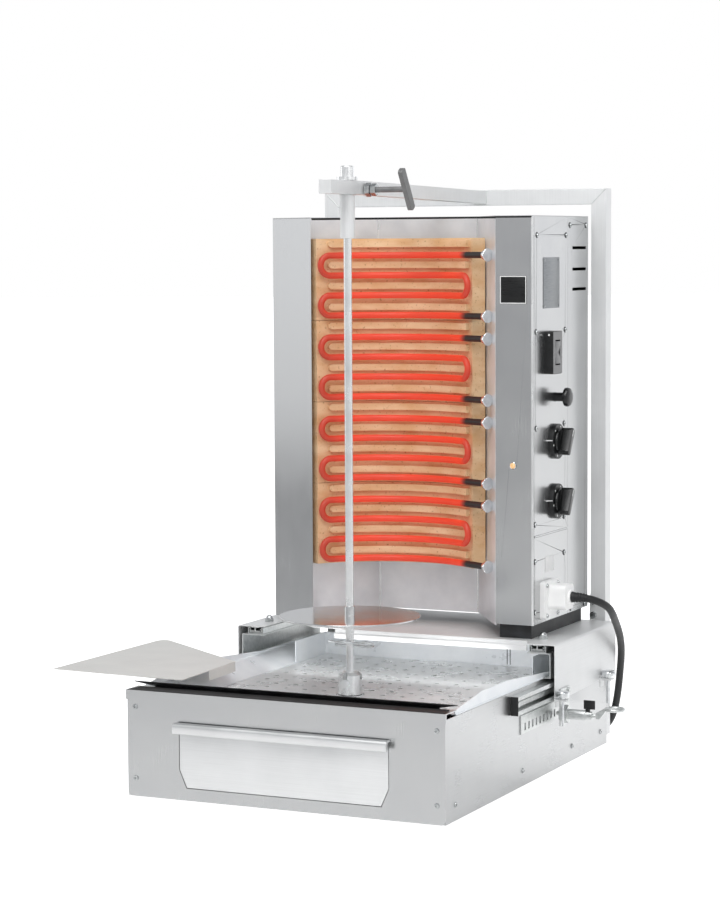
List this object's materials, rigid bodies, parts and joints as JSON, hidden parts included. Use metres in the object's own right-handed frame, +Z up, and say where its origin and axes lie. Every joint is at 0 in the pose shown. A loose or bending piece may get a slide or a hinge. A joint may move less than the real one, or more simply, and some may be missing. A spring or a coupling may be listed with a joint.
{
  "type": "electric kebab grill",
  "caption": "Upright electric kebab grill: a driven vertical spit before a sliding heater head, with a grease tray, perforated plate and drawer in its sheet steel base.",
  "frame": {"origin": "on the table, at the centre of the base's footprint, on the underside of the middle pad", "axes": "+X to the right as seen from the drawer, +Y to the back, +Z up"},
  "size_m": [0.7726, 0.8641, 0.9105],
  "materials": {
    "steel_sheet": "brushed stainless",
    "steel_mirror": "bright annealed stainless",
    "steel_plate": "bright stainless",
    "steel_tube": "ground stainless",
    "rubber_pad": "moulded",
    "screw_steel": "plated",
    "zinc_steel": "zinc plated",
    "cast_alloy": "sand cast",
    "motor_paint": "enamel",
    "bronze": "sintered",
    "cable_rubber": "smooth rubber sheath",
    "plug_rubber": "moulded",
    "dark_edge": "black enamel",
    "dark_steel": "dark enamel",
    "fireclay": "fired fireclay",
    "hot_tube": "oxidised, glowing",
    "chrome_collar": "polished",
    "label_sheet": "printed sheet, blank",
    "lamp_lens": "tinted lens",
    "black_plastic": "moulded",
    "white_plastic": "moulded",
    "chrome_pin": "polished",
    "gear_steel": "machined"
  },
  "bodies": {
    "base": {"base_shell": "steel_sheet", "front_panel": "steel_sheet", "floor_plate": "steel_sheet", "feet": "rubber_pad", "panel_screws": "screw_steel", "fixed_rails": "zinc_steel", "index_rack": "zinc_steel", "motor_bracket": "zinc_steel", "gearbox_housing": "cast_alloy", "motor": "motor_paint", "hub_bearing": "bronze", "mast_frame": "steel_tube", "mast_arm": "steel_tube", "mast_fasteners": "screw_steel", "mains_cable": "cable_rubber", "cable_coil": "cable_rubber", "mains_plug": "plug_rubber"},
    "tray": {"grease_tray": "steel_sheet", "tray_lip": "dark_edge"},
    "drip_plate": {"perforated_plate": "steel_plate"},
    "side_shelf": {"side_plate": "steel_plate"},
    "drawer": {"drawer_box": "steel_sheet", "drawer_front": "steel_sheet"},
    "slide_middle_pair": {"slide_middles": "zinc_steel"},
    "carriage": {"bridge": "steel_sheet", "slide_inners": "zinc_steel", "head_platform": "dark_steel", "back_wall": "steel_mirror", "left_wing": "steel_mirror", "control_box": "steel_sheet", "control_panel": "steel_sheet", "connection_panel": "steel_sheet", "rear_cover": "steel_sheet", "top_cover": "steel_sheet", "bricks": "fireclay", "heating_elements": "hot_tube", "terminals": "chrome_collar", "plates": "label_sheet", "pilot_lamp": "lamp_lens", "switch_housing": "black_plastic", "dials": "black_plastic", "regulators": "black_plastic", "inlet_connector": "white_plastic", "head_fasteners": "screw_steel", "plunger_housing": "zinc_steel"},
    "upper_knob": {"knob_upper": "black_plastic"},
    "lower_knob": {"knob_lower": "black_plastic"},
    "push_button": {"push_knob": "black_plastic"},
    "rocker_key": {"rocker": "black_plastic"},
    "plunger": {"index_plunger": "zinc_steel"},
    "front_lock_pin": {"lock_pin_front": "chrome_pin"},
    "rear_lock_pin": {"lock_pin_rear": "chrome_pin"},
    "centre_pin": {"upper_pin": "chrome_pin"},
    "clamp_screw": {"t_handle": "zinc_steel"},
    "spit": {"spit_rod": "steel_tube", "meat_disc": "steel_plate", "drive_hub": "steel_tube", "gear_wheel": "gear_steel"},
    "clip": {"spit_clip": "zinc_steel"},
    "pinion": {"gear_pinion": "gear_steel"}
  },
  "joints": [
    {"name": "drawer_slide", "type": "slide", "parent": "base", "child": "drawer", "axis": [0, -1, 0], "range_m": [0, 0.15]},
    {"name": "head_slide", "type": "slide", "parent": "base", "child": "carriage", "axis": [0, -1, 0], "range_m": [0, 0.09]},
    {"name": "middle_slide", "type": "slide", "parent": "base", "child": "slide_middle_pair", "axis": [0, -1, 0], "range_m": [0, 0.05]},
    {"name": "spit_spin", "type": "hinge", "parent": "base", "child": "spit", "pos_m": [0, -0.102, 0.3], "axis": [0, 0, 1], "continuous": true},
    {"name": "pinion_spin", "type": "hinge", "parent": "base", "child": "pinion", "pos_m": [0.0375, -0.102, 0.09], "axis": [0, 0, 1], "continuous": true},
    {"name": "clip_pull", "type": "slide", "parent": "spit", "child": "clip", "axis": [1, 0, 0], "range_m": [0, 0.06]},
    {"name": "upper_pin_lift", "type": "slide", "parent": "base", "child": "centre_pin", "axis": [0, 0, 1], "range_m": [0, 0.035]},
    {"name": "clamp_screw_turn", "type": "hinge", "parent": "base", "child": "clamp_screw", "pos_m": [0.03, -0.062, 0.876], "axis": [1, 0, 0], "continuous": true},
    {"name": "plunger_drop", "type": "slide", "parent": "carriage", "child": "plunger", "axis": [-1, 0, 0], "range_m": [0, 0.0055]},
    {"name": "upper_knob_turn", "type": "hinge", "parent": "carriage", "child": "upper_knob", "pos_m": [0.219, 0.173, 0.494], "axis": [1, 0, 0], "range_deg": [0, 270]},
    {"name": "lower_knob_turn", "type": "hinge", "parent": "carriage", "child": "lower_knob", "pos_m": [0.219, 0.173, 0.402], "axis": [1, 0, 0], "range_deg": [0, 270]},
    {"name": "push_button_press", "type": "slide", "parent": "carriage", "child": "push_button", "axis": [-1, 0, 0], "range_m": [0, 0.004], "stiffness_N_per_m": 600},
    {"name": "rocker_tip", "type": "hinge", "parent": "carriage", "child": "rocker_key", "pos_m": [0.226, 0.1495, 0.631], "axis": [0, 1, 0], "range_deg": [-8, 8]},
    {"name": "front_pin_lift", "type": "slide", "parent": "carriage", "child": "front_lock_pin", "axis": [0, 0, 1], "range_m": [0, 0.025]},
    {"name": "rear_pin_lift", "type": "slide", "parent": "carriage", "child": "rear_lock_pin", "axis": [0, 0, 1], "range_m": [0, 0.025]},
    {"name": "tray_lift", "type": "slide", "parent": "base", "child": "tray", "axis": [0, 0, 1], "range_m": [0, 0.014]},
    {"name": "drip_plate_lift", "type": "slide", "parent": "tray", "child": "drip_plate", "axis": [0, 0, 1], "range_m": [0, 0.02]},
    {"name": "side_shelf_lift", "type": "slide", "parent": "tray", "child": "side_shelf", "axis": [0, 0, 1], "range_m": [0, 0.05]}
  ],
  "couplings": [
    {"joint": "middle_slide", "follows": "head_slide", "ratio": 0.5},
    {"joint": "pinion_spin", "follows": "spit_spin", "ratio": -4}
  ]
}
